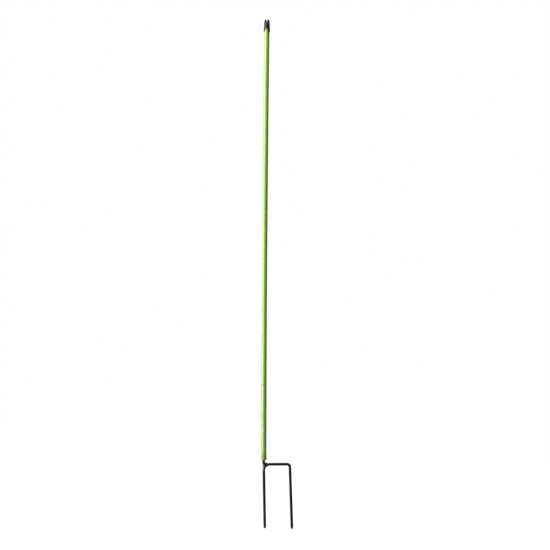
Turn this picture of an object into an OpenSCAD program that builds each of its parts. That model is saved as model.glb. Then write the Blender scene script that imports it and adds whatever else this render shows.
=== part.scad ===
// Stake post for electric netting, with a two-pronged steel foot and a turning head clip.
// Z = 0 is the ground line, at the underside of the tread bar on the post's axis.
// +Z runs up the post and +X towards the second prong.

/* [Post] */
// Height of the horn tips above the ground line
stand_h = 1120; // [600:10:1500]
// Outside diameter of the plastic tube
tube_od = 13; // [12:0.5:19]
// Wall of the plastic tube
tube_wall = 2.1; // [1.8:0.1:3]

/* [Foot bush] */
// Length of tang left bare between the tread bar and the bush
bare_tang = 7.5; // [5:0.5:15]
// Height of the rim that the tube stands on
rim_h = 6; // [3:0.5:10]
// How far the rim stands out past the tube
rim_proud = 0.8; // [0.4:0.1:2]
// Length of the bush inside the tube
bush_plug = 75; // [40:5:120]

/* [Steel foot] */
// Diameter of the steel rod
rod_d = 7; // [5:0.5:8]
// Distance between the prongs at the tread bar
prong_gap = 65.5; // [50:0.5:120]
// Depth of the main prong's tip below the ground line
main_depth = 157; // [120:1:250]
// Depth of the second prong's tip below the ground line
second_depth = 158; // [120:1:250]
// Angle that the tread bar rises from square with the post
bar_rise = 0.9; // [0:0.1:3]
// Angle that the main prong leans from the post's axis
main_lean = 1.4; // [0:0.1:3]
// Angle that the second prong leans from the post's axis
second_lean = 2.3; // [0:0.1:4]
// Bend radius at the main prong, on the rod's centre line
main_bend = 15; // [8:0.5:18]
// Bend radius at the second prong, on the rod's centre line
second_bend = 7.5; // [6:0.5:14]
// Length of the taper on each tip
tip_taper = 6; // [4:1:20]
// Diameter of the blunt end of each tip
tip_d = 4; // [2:0.5:5]

/* [Head clip] */
// Angle that the clip is turned to on the post
clip_set = -13; // [-90:1:90]
// Height of the head above the end of the tube
head_h = 15.5; // [14:0.5:20]
// Length of the skirt that covers the tube
skirt_h = 16; // [12:1:24]
// Outside radius of the skirt at its lower end, past the tube
skirt_proud = 1.5; // [1:0.1:2.5]
// Height of the arch cut through the skirt's front and back
arch_h = 9; // [5:0.5:10]
// Diameter of the line that the clip holds
line_d = 3.5; // [2.5:0.5:4]
// Length of the spigot inside the tube
spigot_h = 12; // [8:1:20]

/* [Hidden] */
$fn = 64;

lime = [0.48, 0.74, 0.12];
black = [0.10, 0.10, 0.10];
steel = [0.17, 0.17, 0.17];
weld = [0.30, 0.30, 0.30];

overshoot = 1;         // how far a cutter runs past what it cuts
turn_gap = 0.05;       // radial clearance that lets the clip turn
seat_gap = 0.3;        // space between the clip's shoulder and the tube's end
bend_swell = 0.1;      // how much the rod's radius grows in a bend
lap = 0.5;             // how far a straight run goes on into a bend
tang_foot = 8;         // how far below the ground line the tang's cut end follows the bend
horn_tip = 2.1;        // radius of the clip's horn tips

tube_r = tube_od / 2;
bore_r = tube_r - tube_wall;
crown_r = tube_r - 0.6;
rod_r = rod_d / 2;
tip_r = tip_d / 2;

bar_z = rod_r;                        // height of the tread bar's centre line over the post's axis
rim_z = rod_d + bare_tang;            // underside of the bush's rim
tube_z = rim_z + rim_h;               // lower end of the tube
tube_top = stand_h - head_h;          // upper end of the tube
tang_top = tube_z + bush_plug - 5;    // upper end of the tang

main_corner = [0, bar_z];
second_corner = main_corner + prong_gap * [cos(bar_rise), sin(bar_rise)];

// Directions that the legs leave a corner in, as angles from +X in the plane of the fork
bar_out = bar_rise;
bar_back = 180 + bar_rise;
main_down = main_lean - 90;
second_down = second_lean + 270;

// Places its child at a corner, with +Z along the leg that leaves the corner at an angle
module along(corner, angle) {
    translate([corner.x, corner.y, 0])
        rotate([0, 90, angle])
            children();
}

// A straight run of rod between two distances from its corner
module run_of_rod(start, end) {
    translate([0, 0, start])
        cylinder(r = rod_r, h = end - start);
}

// A prong with its blunt point
module prong(start, end) {
    rotate_extrude()
        polygon([[0, start], [rod_r, start], [rod_r, end - tip_taper], [tip_r, end], [0, end]]);
}

// Length of each leg that a bend between two legs takes up
function bend_reach(first, second, radius) = radius / tan((second - first) / 2);

// Places its child at the centre of the bend between two legs, with +X at the middle of the bend
module at_bend(corner, first, second, radius) {
    middle = (first + second) / 2;
    centre = corner + radius / sin((second - first) / 2) * [cos(middle), sin(middle)];
    translate([centre.x, centre.y, 0])
        rotate([0, 0, middle + 180])
            children();
}

// A round bar along an arc that spreads equally to both sides of +X
module arc_bar(radius, bar_r, sweep) {
    rotate([0, 0, -sweep / 2])
        rotate_extrude(angle = sweep)
            translate([radius, 0])
                circle(r = bar_r);
}

// The bend between two legs that leave a corner at the angles first and second
module bend(corner, first, second, radius) {
    at_bend(corner, first, second, radius)
        arc_bar(radius, rod_r + bend_swell, 180 - (second - first));
}

// The whole bent rod: main prong, tread bar and second prong
module bent_rod() {
    main_reach = bend_reach(main_down, bar_out, main_bend) - lap;
    second_reach = bend_reach(bar_back, second_down, second_bend) - lap;
    main_len = (main_depth + bar_z) / cos(main_lean);
    second_len = (second_depth + second_corner.y) / cos(second_lean);
    rotate([90, 0, 0]) {
        along(main_corner, main_down) prong(main_reach, main_len);
        bend(main_corner, main_down, bar_out, main_bend);
        along(main_corner, bar_out) run_of_rod(main_reach, prong_gap - second_reach);
        bend(second_corner, bar_back, second_down, second_bend);
        along(second_corner, second_down) prong(second_reach, second_len);
    }
}

// Extruded plastic tube
module post_tube() {
    color(lime)
    translate([0, 0, tube_z])
        difference() {
            cylinder(r = tube_r, h = tube_top - tube_z);
            translate([0, 0, -overshoot])
                cylinder(r = bore_r, h = tube_top - tube_z + 2 * overshoot);
        }
}

// Moulded plug that centres the tang in the tube, with the rim that the tube stands on
module foot_bush() {
    rim_r = tube_r + rim_proud;
    rim_round = 1.2;
    plug_taper = 2;
    color(lime)
    difference() {
        union() {
            translate([0, 0, rim_z])
                cylinder(r1 = rim_r - rim_round, r2 = rim_r, h = rim_round);
            translate([0, 0, rim_z + rim_round])
                cylinder(r = rim_r, h = rim_h - rim_round);
            translate([0, 0, tube_z])
                cylinder(r = bore_r, h = bush_plug - plug_taper);
            translate([0, 0, tube_z + bush_plug - plug_taper])
                cylinder(r1 = bore_r, r2 = bore_r - 0.6, h = plug_taper);
        }
        translate([0, 0, rim_z - overshoot])
            cylinder(r = rod_r, h = tube_z + bush_plug - rim_z + 2 * overshoot);
    }
}

// Round rod from the outside of the bend up to its top end
module tang_blank() {
    translate([0, 0, -tang_foot])
        cylinder(r = rod_r, h = tang_foot + tang_top);
}

// Steel rod between the fork and the tube, cut to sit on the bend, with grip rings in the bush
module tang() {
    ring_count = 5;
    ring_pitch = 10;
    ring_depth = 0.5;
    color(steel)
    difference() {
        tang_blank();
        bent_rod();
        for (i = [1 : ring_count])
            translate([0, 0, tang_top - i * ring_pitch])
                rotate_extrude()
                    polygon([
                        [rod_r - ring_depth, 0],
                        [rod_r + overshoot, -ring_depth - overshoot],
                        [rod_r + overshoot, ring_depth + overshoot]
                    ]);
    }
}

// One bent and pointed rod: main prong, tread bar and second prong
module ground_fork() {
    color(steel)
    bent_rod();
}

// Weld metal over the outside of the main bend, on both sides of the tang
module weld_beads() {
    bead_r = 4.2;
    bead_sink = 2.8;
    bead_sweep = 82;
    color(weld)
    difference() {
        rotate([90, 0, 0])
            at_bend(main_corner, main_down, bar_out, main_bend)
                arc_bar(main_bend + rod_r - bead_sink, bead_r, bead_sweep);
        bent_rod();
        tang_blank();
    }
}

// Outline of the clip from the front: two round horns with the line's throat and seat between
module head_outline() {
    throat = line_d / 2 - 0.45;
    mouth = 2.2;
    horn_x = crown_r - horn_tip;
    seat_z = head_h - 9.5;
    difference() {
        union() {
            translate([-tube_od, -skirt_h - overshoot])
                square([2 * tube_od, skirt_h + overshoot + head_h - horn_tip]);
            for (side = [-1, 1])
                translate([side * horn_x, head_h - horn_tip])
                    circle(r = horn_tip);
        }
        polygon([[-mouth, head_h], [mouth, head_h], [throat, seat_z], [-throat, seat_z]]);
        translate([0, seat_z])
            circle(r = line_d / 2);
    }
}

// Outline of the arch that is cut through the skirt, a parabola with its top at arch_h
module arch_outline() {
    steps = 8;
    foot = tube_r - 0.6;
    curve = arch_h / pow(foot, 2);
    polygon(concat(
        [for (i = [-steps : steps]) let (x = foot * i / steps) [x, arch_h - curve * pow(x, 2)]],
        [[foot, -overshoot], [-foot, -overshoot]]
    ));
}

// Half of the clip's outline from the side, from the skirt's lower end to the round edge of the crown
module head_profile() {
    skirt_r = tube_r + skirt_proud;
    waist_r = tube_r + 1;
    crown_edge = [crown_r - horn_tip, head_h - horn_tip];
    polygon(concat(
        [[0, -skirt_h], [skirt_r, -skirt_h], [skirt_r - 0.1, -0.6 * skirt_h]],
        [[waist_r, -0.25 * skirt_h], [waist_r - 0.1, 0.2 * head_h]],
        [for (turn = [0 : 15 : 90]) crown_edge + horn_tip * [cos(turn), sin(turn)]],
        [[0, head_h]]
    ));
}

// Moulded cap: a skirt over the tube, a spigot in it and a forked head for the net's top line
module head_clip() {
    color(black)
    translate([0, 0, tube_top])
    rotate([0, 0, clip_set])
    difference() {
        intersection() {
            rotate_extrude()
                head_profile();
            rotate([90, 0, 0])
                linear_extrude(height = 3 * tube_od, center = true)
                    head_outline();
        }
        // Socket for the tube's end, around the spigot
        difference() {
            translate([0, 0, -skirt_h - overshoot])
                cylinder(r = tube_r + turn_gap, h = skirt_h + overshoot + seat_gap);
            translate([0, 0, -spigot_h])
                cylinder(r1 = bore_r - 0.8, r2 = bore_r - turn_gap, h = 1);
            translate([0, 0, 1 - spigot_h])
                cylinder(r = bore_r - turn_gap, h = spigot_h);
        }
        // Arches at the front and back of the skirt, stopping short of the spigot
        for (side = [-1, 1])
            translate([0, side * tube_r, -skirt_h])
                rotate([90, 0, 0])
                    linear_extrude(height = 2 * (tube_r - bore_r), center = true)
                        arch_outline();
    }
}

post_tube();
foot_bush();
tang();
ground_fork();
weld_beads();
head_clip();
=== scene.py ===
import math

import bmesh
import bpy
from mathutils import Matrix, Vector, noise


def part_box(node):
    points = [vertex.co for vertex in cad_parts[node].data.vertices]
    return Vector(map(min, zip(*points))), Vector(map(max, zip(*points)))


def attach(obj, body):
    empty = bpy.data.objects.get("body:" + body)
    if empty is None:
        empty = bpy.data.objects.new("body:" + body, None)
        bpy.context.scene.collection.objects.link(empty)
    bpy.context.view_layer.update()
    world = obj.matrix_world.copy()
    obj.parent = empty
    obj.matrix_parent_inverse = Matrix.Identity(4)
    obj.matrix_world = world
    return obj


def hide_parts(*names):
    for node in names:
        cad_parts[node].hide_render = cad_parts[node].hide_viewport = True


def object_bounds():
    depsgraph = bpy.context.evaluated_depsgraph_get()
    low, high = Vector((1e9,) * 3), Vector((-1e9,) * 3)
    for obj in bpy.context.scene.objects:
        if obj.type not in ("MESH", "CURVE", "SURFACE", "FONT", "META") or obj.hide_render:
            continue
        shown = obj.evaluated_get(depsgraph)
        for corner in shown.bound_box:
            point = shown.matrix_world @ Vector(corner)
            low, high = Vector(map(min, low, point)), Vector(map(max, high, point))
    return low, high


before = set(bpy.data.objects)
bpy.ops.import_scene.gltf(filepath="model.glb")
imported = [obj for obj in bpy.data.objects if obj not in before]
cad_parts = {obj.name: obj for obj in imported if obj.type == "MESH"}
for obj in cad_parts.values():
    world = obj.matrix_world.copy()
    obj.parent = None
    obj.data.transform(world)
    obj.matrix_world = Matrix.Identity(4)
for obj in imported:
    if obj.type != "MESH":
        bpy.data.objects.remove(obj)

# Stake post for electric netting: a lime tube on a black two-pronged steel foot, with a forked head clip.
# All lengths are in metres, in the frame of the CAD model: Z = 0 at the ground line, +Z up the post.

CAD_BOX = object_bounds()
MM = 0.001
X, Y, Z = Vector((1, 0, 0)), Vector((0, 1, 0)), Vector((0, 0, 1))

# Driving sizes of the steel foot, the same as in the CAD model
ROD_R = 3.5 * MM
PRONG_GAP = 65.5 * MM
MAIN_DEPTH = 157 * MM
SECOND_DEPTH = 158 * MM
BAR_RISE = math.radians(0.9)
MAIN_LEAN = math.radians(1.4)
SECOND_LEAN = math.radians(2.3)
MAIN_BEND = 15 * MM
SECOND_BEND = 7.5 * MM
TIP_TAPER = 6 * MM
TIP_R = 2 * MM
BORE_R = 4.4 * MM
CLIP_SET = math.radians(-13)

# Points round a turned piece or a rod
TUBE_SIDES = 128
BUSH_SIDES = 96
ROD_SIDES = 48


# ---------------------------------------------------------------- mesh helpers

def skin(rings, closed=False):
    """A surface over rings that have the same number of points, closed into a loop or with flat ends."""
    bm = bmesh.new()
    rows = [[bm.verts.new(point) for point in ring] for ring in rings]
    pairs = list(zip(rows, rows[1:]))
    if closed:
        pairs.append((rows[-1], rows[0]))
    else:
        bm.faces.new(rows[0])
        bm.faces.new(rows[-1])
    for low, high in pairs:
        for i in range(len(low)):
            j = (i + 1) % len(low)
            bm.faces.new((low[i], low[j], high[j], high[i]))
    return bm


def ring(centre, across, up, radius_at, count):
    """Points round a centre in the plane of two unit vectors, at the radius that radius_at gives."""
    points = []
    for i in range(count):
        angle = 2 * math.pi * i / count
        out = across * math.cos(angle) + up * math.sin(angle)
        points.append(centre + out * radius_at(angle))
    return points


def rounded(corners, steps=5):
    """A closed outline through (across, along, round) corners, each rounded by its third value."""
    points = []
    for i, (across, along, round_by) in enumerate(corners):
        here = Vector((across, along))
        back = Vector(corners[i - 1][:2]) - here
        onward = Vector(corners[(i + 1) % len(corners)][:2]) - here
        if round_by == 0:
            points.append(here)
            continue
        start = here + back.normalized() * min(round_by, 0.48 * back.length)
        end = here + onward.normalized() * min(round_by, 0.48 * onward.length)
        for k in range(steps + 1):
            t = k / steps
            points.append(start * (1 - t) ** 2 + here * (2 * t * (1 - t)) + end * t ** 2)
    return points


def lathe(outline, count, change=lambda angle, along: 0.0, shift=lambda along: 0.0):
    """Turns a closed outline of (radius, height) round Z. change adds to the radius, shift moves along X."""
    rings = []
    for radius, along in outline:
        centre = Vector((shift(along), 0, along))
        rings.append(ring(centre, X, Y, lambda angle: radius + change(angle, along), count))
    return skin(rings, closed=True)


def piece(name, bm, body, node, material, modifiers=(), sharp=50):
    """Makes a piece that rides on a body and stands for a CAD node. Edges over sharp degrees are crisp."""
    bmesh.ops.recalc_face_normals(bm, faces=bm.faces)
    mesh = bpy.data.meshes.new(name)
    bm.to_mesh(mesh)
    bm.free()
    made = bpy.data.objects.new(name, mesh)
    bpy.context.scene.collection.objects.link(made)
    for kind, settings in modifiers:
        modifier = made.modifiers.new(kind.lower(), kind)
        for key, value in settings.items():
            setattr(modifier, key, value)
    if modifiers:
        bake_modifiers(made)
    made.data.materials.append(material)
    made.data.shade_smooth()
    made.data.set_sharp_from_angle(angle=math.radians(sharp))
    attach(made, body)
    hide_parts(node)
    return made


def bake_modifiers(made):
    """Turns an object's modifiers into its mesh."""
    graph = bpy.context.evaluated_depsgraph_get()
    shaped = bpy.data.meshes.new_from_object(made.evaluated_get(graph))
    made.modifiers.clear()
    made.data = shaped


def wobble(point, size, amount):
    """Smooth unevenness of a surface: up to about amount either way, over lengths of about size."""
    return amount * noise.noise(point / size)


# ---------------------------------------------------------------- materials

class Finish:
    """A Principled material with short calls for the nodes that the finishes here share."""

    def __init__(self, name, **sockets):
        self.material = bpy.data.materials.new(name)
        self.material.use_nodes = True
        self.tree = self.material.node_tree
        self.shader = self.tree.nodes["Principled BSDF"]
        for key, value in sockets.items():
            self.shader.inputs[key.replace("_", " ")].default_value = value
        self.place = self.node("ShaderNodeTexCoord").outputs["Object"]

    def node(self, kind, **sockets):
        made = self.tree.nodes.new(kind)
        for key, value in sockets.items():
            self.join(value, made.inputs[key.replace("_", " ")])
        return made

    def join(self, value, socket):
        if isinstance(value, bpy.types.NodeSocket):
            self.tree.links.new(value, socket)
        else:
            socket.default_value = value

    def grain(self, across, along=None, detail=2.0):
        """Noise of about the given size, in metres. along is its size in Z where that differs."""
        sizes = (1 / across, 1 / across, 1 / (along or across))
        mapped = self.node("ShaderNodeMapping", Vector=self.place, Scale=sizes).outputs["Vector"]
        return self.node("ShaderNodeTexNoise", Vector=mapped, Scale=1.0, Detail=detail).outputs["Fac"]

    def spread(self, value, low, high, to_low, to_high):
        """Maps a range to another and stops at its ends."""
        made = self.node("ShaderNodeMapRange", Value=value)
        for key, number in (("From Min", low), ("From Max", high), ("To Min", to_low), ("To Max", to_high)):
            made.inputs[key].default_value = number
        return made.outputs["Result"]

    def sum(self, first, second, operation="ADD"):
        made = self.tree.nodes.new("ShaderNodeMath")
        made.operation = operation
        self.join(first, made.inputs[0])
        self.join(second, made.inputs[1])
        return made.outputs["Value"]

    def blend(self, share, first, second):
        """A colour between two colours."""
        made = self.tree.nodes.new("ShaderNodeMix")
        made.data_type = "RGBA"
        self.join(share, made.inputs["Factor"])
        self.join(first, made.inputs[6])
        self.join(second, made.inputs[7])
        return made.outputs[2]

    def height(self):
        return self.node("ShaderNodeSeparateXYZ", Vector=self.place).outputs["Z"]

    def bumps(self, *layers):
        """Stacks bump layers of (height value, depth in metres)."""
        normal = None
        for value, depth in layers:
            made = self.node("ShaderNodeBump", Height=value, Strength=1.0, Distance=depth)
            if normal:
                self.join(normal, made.inputs["Normal"])
            normal = made.outputs["Normal"]
        self.join(normal, self.shader.inputs["Normal"])

    def done(self, colour, roughness, metal=None):
        self.join(colour, self.shader.inputs["Base Color"])
        self.join(roughness, self.shader.inputs["Roughness"])
        if metal is not None:
            self.join(metal, self.shader.inputs["Metallic"])
        return self.material


def lime_tube_finish():
    """Extruded plastic: a glossy skin with fine lines along the tube, and faint rubbed places."""
    f = Finish("lime_tube", IOR=1.5, Specular_IOR_Level=0.6, Coat_Weight=0.4, Coat_Roughness=0.2)
    lines = f.grain(0.7 * MM, along=400 * MM, detail=3.0)
    clouds = f.grain(20 * MM, along=150 * MM)
    rubbed = f.spread(f.grain(4 * MM, along=45 * MM, detail=4.0), 0.62, 0.74, 0.0, 1.0)
    shade = f.sum(f.sum(lines, 0.6, "MULTIPLY"), f.sum(clouds, 0.4, "MULTIPLY"))
    shade = f.spread(shade, 0.32, 0.68, 0.0, 1.0)
    colour = f.blend(shade, (0.265, 0.425, 0.056, 1), (0.305, 0.475, 0.070, 1))
    colour = f.blend(f.sum(rubbed, 0.10, "MULTIPLY"), colour, (0.50, 0.60, 0.34, 1))
    roughness = f.sum(f.spread(lines, 0.3, 0.7, 0.34, 0.42), f.sum(rubbed, 0.08, "MULTIPLY"))
    f.bumps((lines, 0.011 * MM), (f.grain(0.3 * MM, along=4 * MM), 0.005 * MM))
    return f.done(colour, roughness)


def lime_moulding_finish():
    """Moulded plastic of the same colour, with a fine even grain."""
    f = Finish("lime_moulding", IOR=1.5, Specular_IOR_Level=0.6, Coat_Weight=0.3, Coat_Roughness=0.3)
    clouds = f.grain(4 * MM)
    grain = f.grain(0.25 * MM, detail=3.0)
    shade = f.spread(clouds, 0.3, 0.7, 0.0, 1.0)
    colour = f.blend(shade, (0.25, 0.40, 0.055, 1), (0.30, 0.46, 0.070, 1))
    f.bumps((grain, 0.015 * MM), (f.grain(1.6 * MM), 0.03 * MM))
    return f.done(colour, f.spread(grain, 0.3, 0.7, 0.38, 0.5))


def black_steel_finish():
    """Black coating with slight orange peel, dull patches, and steel that shows on the worn points."""
    f = Finish("black_steel", IOR=1.5, Specular_IOR_Level=0.15)
    peel = f.grain(1.1 * MM, detail=1.5)
    patches = f.grain(9 * MM, detail=3.0)
    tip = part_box("ground_fork")[0].z
    near_tip = f.spread(f.height(), tip + 16 * MM, tip, 0.0, 1.0)
    chips = f.grain(1.3 * MM, along=2.6 * MM, detail=5.0)
    worn = f.spread(f.sum(near_tip, chips, "MULTIPLY"), 0.34, 0.42, 0.0, 1.0)
    shade = f.spread(patches, 0.35, 0.7, 0.0, 1.0)
    colour = f.blend(shade, (0.007, 0.007, 0.0065, 1), (0.015, 0.015, 0.014, 1))
    colour = f.blend(worn, colour, (0.21, 0.20, 0.185, 1))
    roughness = f.sum(f.spread(patches, 0.3, 0.7, 0.42, 0.56), f.sum(worn, 0.05, "MULTIPLY"))
    f.bumps((peel, 0.05 * MM), (f.sum(worn, -1.0, "MULTIPLY"), 0.04 * MM))
    return f.done(colour, roughness, f.sum(worn, 0.8, "MULTIPLY"))


def weld_finish():
    """Weld metal: a mottled grey on the outside of the corner, which faces -X. It is grey weld metal and
    also a painted highlight of the light from that side. The weld is under the black coating elsewhere.
    """
    f = Finish("weld_metal", IOR=1.5)
    mottle = f.grain(1.5 * MM, detail=4.0)
    fine = f.grain(0.3 * MM, detail=3.0)
    across = f.node("ShaderNodeSeparateXYZ", Vector=f.place).outputs["X"]
    # the painted highlight patch narrows downwards, so its right edge slopes
    across = f.sum(across, f.sum(f.height(), -0.17, "MULTIPLY"))
    ragged = f.sum(across, f.spread(mottle, 0.0, 1.0, -1.6 * MM, 1.6 * MM))
    # grey weld metal on the -X side, where the light falls, as a painted highlight; the black coating colour
    # covers the rest
    coated_past_highlight = f.spread(ragged, 0.3 * MM, 1.3 * MM, 0.0, 1.0)
    shade = f.spread(mottle, 0.35, 0.65, 0.0, 1.0)
    grey_weld_and_painted_highlight = f.blend(shade, (0.25, 0.247, 0.24, 1), (0.40, 0.397, 0.39, 1))
    grey_weld_and_painted_highlight = f.blend(f.spread(f.grain(2.6 * MM), 0.58, 0.70, 0.0, 0.5), grey_weld_and_painted_highlight, (0.15, 0.115, 0.09, 1))
    colour = f.blend(coated_past_highlight, grey_weld_and_painted_highlight, (0.016, 0.016, 0.015, 1))
    f.bumps((mottle, 0.07 * MM), (fine, 0.03 * MM))
    metal = f.sum(0.45, f.sum(coated_past_highlight, 0.45, "MULTIPLY"), "SUBTRACT")
    return f.done(colour, f.spread(fine, 0.3, 0.7, 0.42, 0.6), metal)


def black_plastic_finish():
    """Moulded black plastic: fine even grain and faint flow marks."""
    f = Finish("black_plastic", IOR=1.5, Specular_IOR_Level=0.45)
    grain = f.grain(0.18 * MM, detail=2.0)
    flow = f.grain(3 * MM, along=7 * MM, detail=3.0)
    shade = f.spread(flow, 0.35, 0.65, 0.0, 1.0)
    colour = f.blend(shade, (0.008, 0.0085, 0.0075, 1), (0.014, 0.0145, 0.013, 1))
    f.bumps((grain, 0.02 * MM), (flow, 0.05 * MM))
    return f.done(colour, f.spread(grain, 0.3, 0.7, 0.42, 0.56))


# ---------------------------------------------------------------- the tube and its foot

def tube_bow(along):
    """How far the tube bows to the left of its axis: an even curve from its lower end up to the clip."""
    low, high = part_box("post_tube")[0].z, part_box("head_clip")[0].z
    share = min(max((along - low) / (high - low), 0), 1)
    furthest = 1.45 * MM
    return -4 * furthest * share * (1 - share)


def build_tube(material):
    """Extruded tube with shallow die lines, a slight bow, and sawn ends with their edges just broken."""
    low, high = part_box("post_tube")
    outer = high.x
    edge = 0.35 * MM
    rows = 90
    wall = high.z - low.z - 2 * edge
    outline = [(outer - edge, low.z)]
    outline += [(outer, low.z + edge + wall * k / rows) for k in range(rows + 1)]
    outline += [(outer - edge, high.z), (BORE_R + edge, high.z)]
    outline += [(BORE_R, high.z - edge - wall * k / rows) for k in range(rows + 1)]
    outline.append((BORE_R + edge, low.z))

    def die_lines(angle, along):
        around = Vector((math.cos(angle), math.sin(angle), along * 0.1))
        return -abs(wobble(around, 0.11, 0.02 * MM)) - abs(wobble(around, 0.04, 0.01 * MM))

    bm = lathe(outline, TUBE_SIDES, die_lines, tube_bow)
    return piece("tube_shell", bm, "post", "post_tube", material)


def build_bush(material):
    """Moulded plug with its rim. A groove runs round the rim, and shallow relief lines run up the plug."""
    low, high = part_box("foot_bush")
    rim_r, rim_top = high.x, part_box("post_tube")[0].z
    groove_z, groove_r = low.z + 3.4 * MM, rim_r - 0.55 * MM
    outline = rounded([
        (ROD_R, low.z + 0.5 * MM, 0.2 * MM),
        (ROD_R + 0.5 * MM, low.z, 0.2 * MM),
        (rim_r - 1.1 * MM, low.z, 0.6 * MM),
        (rim_r, low.z + 1.1 * MM, 0.7 * MM),
        (rim_r, groove_z - 0.45 * MM, 0.25 * MM),
        (groove_r, groove_z - 0.25 * MM, 0.2 * MM),
        (groove_r, groove_z + 0.25 * MM, 0.2 * MM),
        (rim_r, groove_z + 0.45 * MM, 0.25 * MM),
        (rim_r, rim_top, 0.5 * MM),
        (BORE_R + 0.5 * MM, rim_top, 0.1 * MM),
        (BORE_R, rim_top + 0.4 * MM, 0.1 * MM),
        (BORE_R, high.z - 3 * MM, 0.6 * MM),
        (BORE_R - 0.6 * MM, high.z, 0.3 * MM),
        (ROD_R, high.z, 0.2 * MM),
    ])

    line_count, line_depth = 6, 0.12 * MM

    def relief(angle, along):
        if rim_top + MM < along < high.z - 2 * MM:
            return -line_depth * max(0.0, math.cos(line_count * angle)) ** 6
        return 0.0

    bm = lathe(outline, BUSH_SIDES, relief, tube_bow)
    return piece("foot_bush_moulding", bm, "post", "foot_bush", material)


# ---------------------------------------------------------------- the steel foot

def coating(centre, across, up, angle):
    """Unevenness of the coating on a rod, at an angle round a point of its centre line."""
    spot = centre + (across * math.cos(angle) + up * math.sin(angle)) * ROD_R
    return wobble(spot, 4 * MM, 0.035 * MM) - 0.03 * MM


def build_tang(material):
    """Round rod from the weld up into the bush, with its grip rings and the soft edge of its cut end."""
    low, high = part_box("tang")
    ring_count, ring_pitch, ring_depth = 5, 10 * MM, 0.5 * MM
    step = 1.5 * MM
    rows = int((high.z - ring_count * ring_pitch - low.z) / step)
    side = [(ROD_R - 0.6 * MM, low.z)]
    side += [(ROD_R, low.z + 0.6 * MM + k * step) for k in range(rows)]
    for i in reversed(range(1, ring_count + 1)):
        z = high.z - i * ring_pitch
        side += [(ROD_R, z - ring_depth), (ROD_R - ring_depth, z), (ROD_R, z + ring_depth)]
    side += [(ROD_R, high.z - 0.7 * MM), (ROD_R - 0.2 * MM, high.z - 0.2 * MM), (ROD_R - 0.7 * MM, high.z)]
    rings = []
    for radius, along in side:
        centre = Vector((tube_bow(along), 0, along))
        rings.append(ring(centre, X, Y, lambda a: radius + coating(centre, X, Y, a), ROD_SIDES))
    return piece("tang_rod", skin(rings), "post", "tang", material)


def leg(angle):
    """Unit vector in the plane of the fork, at an angle up from +X."""
    return Vector((math.cos(angle), 0, math.sin(angle)))


MAIN_CORNER = ROD_R * Z
SECOND_CORNER = MAIN_CORNER + PRONG_GAP * leg(BAR_RISE)
MAIN_DOWN = leg(MAIN_LEAN - math.pi / 2)
SECOND_DOWN = leg(SECOND_LEAN - math.pi / 2)


def bend_of(corner, first, second, radius):
    """Centre of a bend between two legs that leave a corner, and how much of each leg it takes up."""
    half = first.angle(second) / 2
    centre = corner + (first + second).normalized() * (radius / math.sin(half))
    return centre, radius / math.tan(half)


def straight(start, end, spacing):
    """Points from start up to, but without, end."""
    count = max(1, round((end - start).length / spacing))
    return [start.lerp(end, k / count) for k in range(count)]


def fork_line():
    """Points of the rod's centre line from tip to tip, each with how far it is into a bend, from 0 to 1."""
    spacing = 1.6 * MM
    main_length = (MAIN_DEPTH + MAIN_CORNER.z) / math.cos(MAIN_LEAN)
    main_tip = MAIN_CORNER + MAIN_DOWN * main_length
    second_length = (SECOND_DEPTH + SECOND_CORNER.z) / math.cos(SECOND_LEAN)
    second_tip = SECOND_CORNER + SECOND_DOWN * second_length
    line = []
    here = main_tip
    corners = (
        (MAIN_CORNER, MAIN_DOWN, leg(BAR_RISE), MAIN_BEND),
        (SECOND_CORNER, -leg(BAR_RISE), SECOND_DOWN, SECOND_BEND),
    )
    for corner, back, onward, radius in corners:
        centre, reach = bend_of(corner, back, onward, radius)
        start, end = corner + back * reach, corner + onward * reach
        line += [(point, 0.0) for point in straight(here, start, spacing)]
        steps = 24
        for k in range(steps + 1):
            spoke = (start - centre).normalized().slerp((end - centre).normalized(), k / steps)
            line.append((centre + radius * spoke, math.sin(math.pi * k / steps)))
        here = end + onward * (0.2 * MM)
    line += [(point, 0.0) for point in straight(here, second_tip, spacing)]
    line.append((second_tip, 0.0))
    return line


def build_fork(material):
    """One bent rod: oval where it is bent, with ground points that end blunt."""
    line = fork_line()
    along = [0.0]
    for (before, _), (after, _) in zip(line, line[1:]):
        along.append(along[-1] + (after - before).length)
    rings = []
    for i, (centre, bent) in enumerate(line):
        ahead = line[min(i + 1, len(line) - 1)][0] - line[max(i - 1, 0)][0]
        across = Y.cross(ahead.normalized())
        from_end = min(along[i], along[-1] - along[i])
        body_r = ROD_R + 0.05 * MM * bent
        taper = min(1.0, from_end / TIP_TAPER)
        radius = TIP_R + (body_r - TIP_R) * math.sin(taper * math.pi / 2) ** 0.9

        def radius_at(angle):
            oval = 1 - 0.02 * bent * math.cos(2 * angle)
            return radius * oval + coating(centre, across, Y, angle)

        rings.append(ring(centre, across, Y, radius_at, ROD_SIDES))
    return piece("fork_rod", skin(rings), "post", "ground_fork", material)


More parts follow.
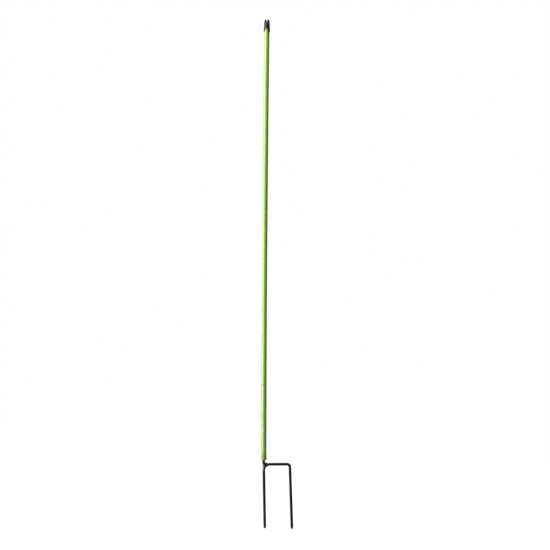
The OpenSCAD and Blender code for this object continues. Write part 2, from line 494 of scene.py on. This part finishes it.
def build_weld(material):
    """A run of weld down the outside of the corner, and fillets at the tang's sides and over the bend."""
    bend_centre, _ = bend_of(MAIN_CORNER, MAIN_DOWN, leg(BAR_RISE), MAIN_BEND)
    drops = []

    # down the outside of the corner to where the main prong runs straight, thinner towards its end
    top, bottom = 3.2 * MM, -12 * MM
    count = 15
    for k in range(count):
        share = k / (count - 1)
        z = top + (bottom - top) * share
        inset = (0.6 - 0.1 * share) * MM
        near_top = max(0.0, 1 - 4 * share)
        size = (3.75 - 0.6 * share ** 1.5 - 0.35 * near_top ** 2 + 0.08 * math.sin(2.3 * k)) * MM
        drops.append((Vector((-inset - z * math.tan(MAIN_LEAN), 0.1 * MM * math.sin(1.7 * k), z)), size))

    # where the side of the tang meets the bend, from the bar down to the prong, thinner towards its end
    count = 44
    for k in range(count):
        share = k / (count - 1)
        turn = 1.5 * share ** 0.8
        x, y = ROD_R * math.cos(turn), ROD_R * math.sin(turn)
        z = bend_centre.z + math.sqrt((MAIN_BEND + x) ** 2 - (bend_centre.x - x) ** 2)
        size = (1.25 - 0.6 * share ** 3 + 0.07 * math.sin(1.3 * k)) * MM
        for side in (-1, 1):
            drops.append((Vector((x, side * y, z)), size))

    # along the top of the bend, from the tang to where the bar runs straight
    count = 12
    for k in range(count):
        share = k / (count - 1)
        size = (2.5 - 0.9 * share + 0.07 * math.sin(2.1 * k)) * MM
        centre = Vector((ROD_R + 0.3 * MM + 6 * MM * share, 0, 2 * ROD_R + (1.3 - 1.3 * share) * MM - size))
        drops.append((centre, size))

    bm = bmesh.new()
    for centre, size in drops:
        made = bmesh.ops.create_icosphere(bm, subdivisions=3, radius=size)
        bmesh.ops.translate(bm, vec=centre, verts=made["verts"])
    voxels = ("REMESH", {"mode": "VOXEL", "voxel_size": 0.16 * MM, "use_smooth_shade": True})
    soften = ("SMOOTH", {"factor": 0.5, "iterations": 4})
    return piece("weld", bm, "post", "weld_beads", material, (voxels, soften), sharp=180)


# ---------------------------------------------------------------- the head clip

def build_clip(material):
    """The clip's CAD shape with the soft edges, parting line and gate mark of a moulding."""
    low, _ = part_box("head_clip")
    bm = bmesh.new()
    bm.from_mesh(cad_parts["head_clip"].data)
    bmesh.ops.remove_doubles(bm, verts=bm.verts, dist=0.001 * MM)
    # turned square to the voxels while it is remeshed, so that the walls of the notch stay straight
    turn = Matrix.Rotation(CLIP_SET, 3, "Z")
    bmesh.ops.rotate(bm, verts=bm.verts, cent=(0, 0, 0), matrix=turn.inverted())
    voxels = ("REMESH", {"mode": "VOXEL", "voxel_size": 0.14 * MM, "use_smooth_shade": True})
    soften = ("SMOOTH", {"factor": 0.5, "iterations": 24})
    thin = ("DECIMATE", {"ratio": 0.5})
    steps = (voxels, soften, thin)
    made = piece("clip_moulding", bm, "clip", "head_clip", material, steps, sharp=180)
    # the parting line runs up both sides, and stays off the spigot, which the tube covers
    line_half, line_height = 0.4 * MM, 0.08 * MM
    tube_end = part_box("post_tube")[1].z + 0.5 * MM
    gate, gate_r = Vector((0, -7.6 * MM, low.z + 12.5 * MM)), 1.3 * MM
    moved = []
    for vertex in made.data.vertices:
        lift = 0.0
        off_line = abs(vertex.co.y) / line_half
        outward = vertex.normal.x * math.copysign(1, vertex.co.x)
        outside = abs(vertex.co.x) > (6.8 if vertex.co.z < tube_end else 3.5) * MM
        if off_line < 1 and outward > 0 and outside:
            lift = line_height * (1 - off_line) * outward ** 2
        from_gate = (vertex.co - gate).length
        if from_gate < gate_r:
            lift = -0.09 * MM * math.sin(math.pi * from_gate / gate_r)
            lift += 0.05 * MM * max(0.0, 1 - 2 * from_gate / MM)
        moved.append(turn @ (vertex.co + vertex.normal * lift))
    for vertex, place in zip(made.data.vertices, moved):
        vertex.co = place
    return made


# ---------------------------------------------------------------- stage, light and camera

def add_floor():
    """Plain white floor at the level of the points."""
    bm = bmesh.new()
    bmesh.ops.create_grid(bm, x_segments=1, y_segments=1, size=6)
    mesh = bpy.data.meshes.new("floor")
    bm.to_mesh(mesh)
    bm.free()
    floor = bpy.data.objects.new("floor", mesh)
    floor.location.z = CAD_BOX[0].z - 0.2 * MM
    bpy.context.scene.collection.objects.link(floor)
    made = Finish("floor", Base_Color=(0.12, 0.12, 0.12, 1), Roughness=0.9, Specular_IOR_Level=0.0)
    made.shader.inputs["Emission Color"].default_value = (1, 1, 1, 1)
    seen = made.node("ShaderNodeLightPath").outputs["Is Camera Ray"]
    made.join(made.sum(seen, 0.975, "MULTIPLY"), made.shader.inputs["Emission Strength"])
    mesh.materials.append(made.material)


def add_world(seen, ambient):
    """White where the camera looks past the object, and a dimmer even light on the object."""
    world = bpy.data.worlds.new("world")
    world.use_nodes = True
    tree = world.node_tree
    background = tree.nodes["Background"]
    background.inputs["Color"].default_value = (1, 1, 1, 1)
    path = tree.nodes.new("ShaderNodeLightPath")
    strength = tree.nodes.new("ShaderNodeMapRange")
    strength.inputs["To Min"].default_value = ambient
    strength.inputs["To Max"].default_value = seen
    tree.links.new(path.outputs["Is Camera Ray"], strength.inputs["Value"])
    tree.links.new(strength.outputs["Result"], background.inputs["Strength"])
    bpy.context.scene.world = world


def add_softbox(name, bearing, distance, height, wide, tall, power, mirrored=True):
    """A soft light on a bearing from the viewer's side, aimed at the post. Gloss reflects it if mirrored."""
    data = bpy.data.lights.new(name, "AREA")
    data.shape = "RECTANGLE"
    data.size, data.size_y = wide, tall
    data.energy = power
    light = bpy.data.objects.new(name, data)
    angle = math.radians(bearing)
    light.location = (distance * math.sin(angle), -distance * math.cos(angle), height)
    towards = Vector((0, 0, CAD_BOX[1].z / 2)) - light.location
    light.rotation_euler = towards.to_track_quat("-Z", "Y").to_euler()
    light.visible_camera = False
    light.visible_glossy = mirrored
    bpy.context.scene.collection.objects.link(light)


def add_camera():
    """Square on and far off, rolled so that the post's top leans a little to the right."""
    distance, width_at_post, roll = 8.0, 1.3805, math.radians(0.42)
    data = bpy.data.cameras.new("camera")
    data.sensor_width = 36
    data.lens = data.sensor_width * distance / width_at_post
    data.clip_end = 100
    camera = bpy.data.objects.new("camera", data)
    camera.location = (0.0248, -distance, 0.4790)
    camera.rotation_euler = (math.pi / 2, -roll, 0)
    bpy.context.scene.collection.objects.link(camera)
    bpy.context.scene.camera = camera


# ---------------------------------------------------------------- the scene

steel = black_steel_finish()
build_tube(lime_tube_finish())
build_bush(lime_moulding_finish())
build_tang(steel)
build_fork(steel)
build_weld(weld_finish())
build_clip(black_plastic_finish())

add_world(seen=1.0, ambient=0.17)
add_floor()
add_softbox("key", bearing=-66, distance=2.4, height=0.5, wide=2.5, tall=3.2, power=195)
add_softbox("back", bearing=-140, distance=2.6, height=0.6, wide=1.4, tall=2.6, power=32, mirrored=False)
add_softbox("fill", bearing=165, distance=2.6, height=0.6, wide=1.4, tall=2.6, power=20, mirrored=False)
add_softbox("top", bearing=10, distance=0.9, height=3.0, wide=1.5, tall=1.5, power=25)
add_camera()

bpy.context.scene.view_settings.view_transform = "Standard"
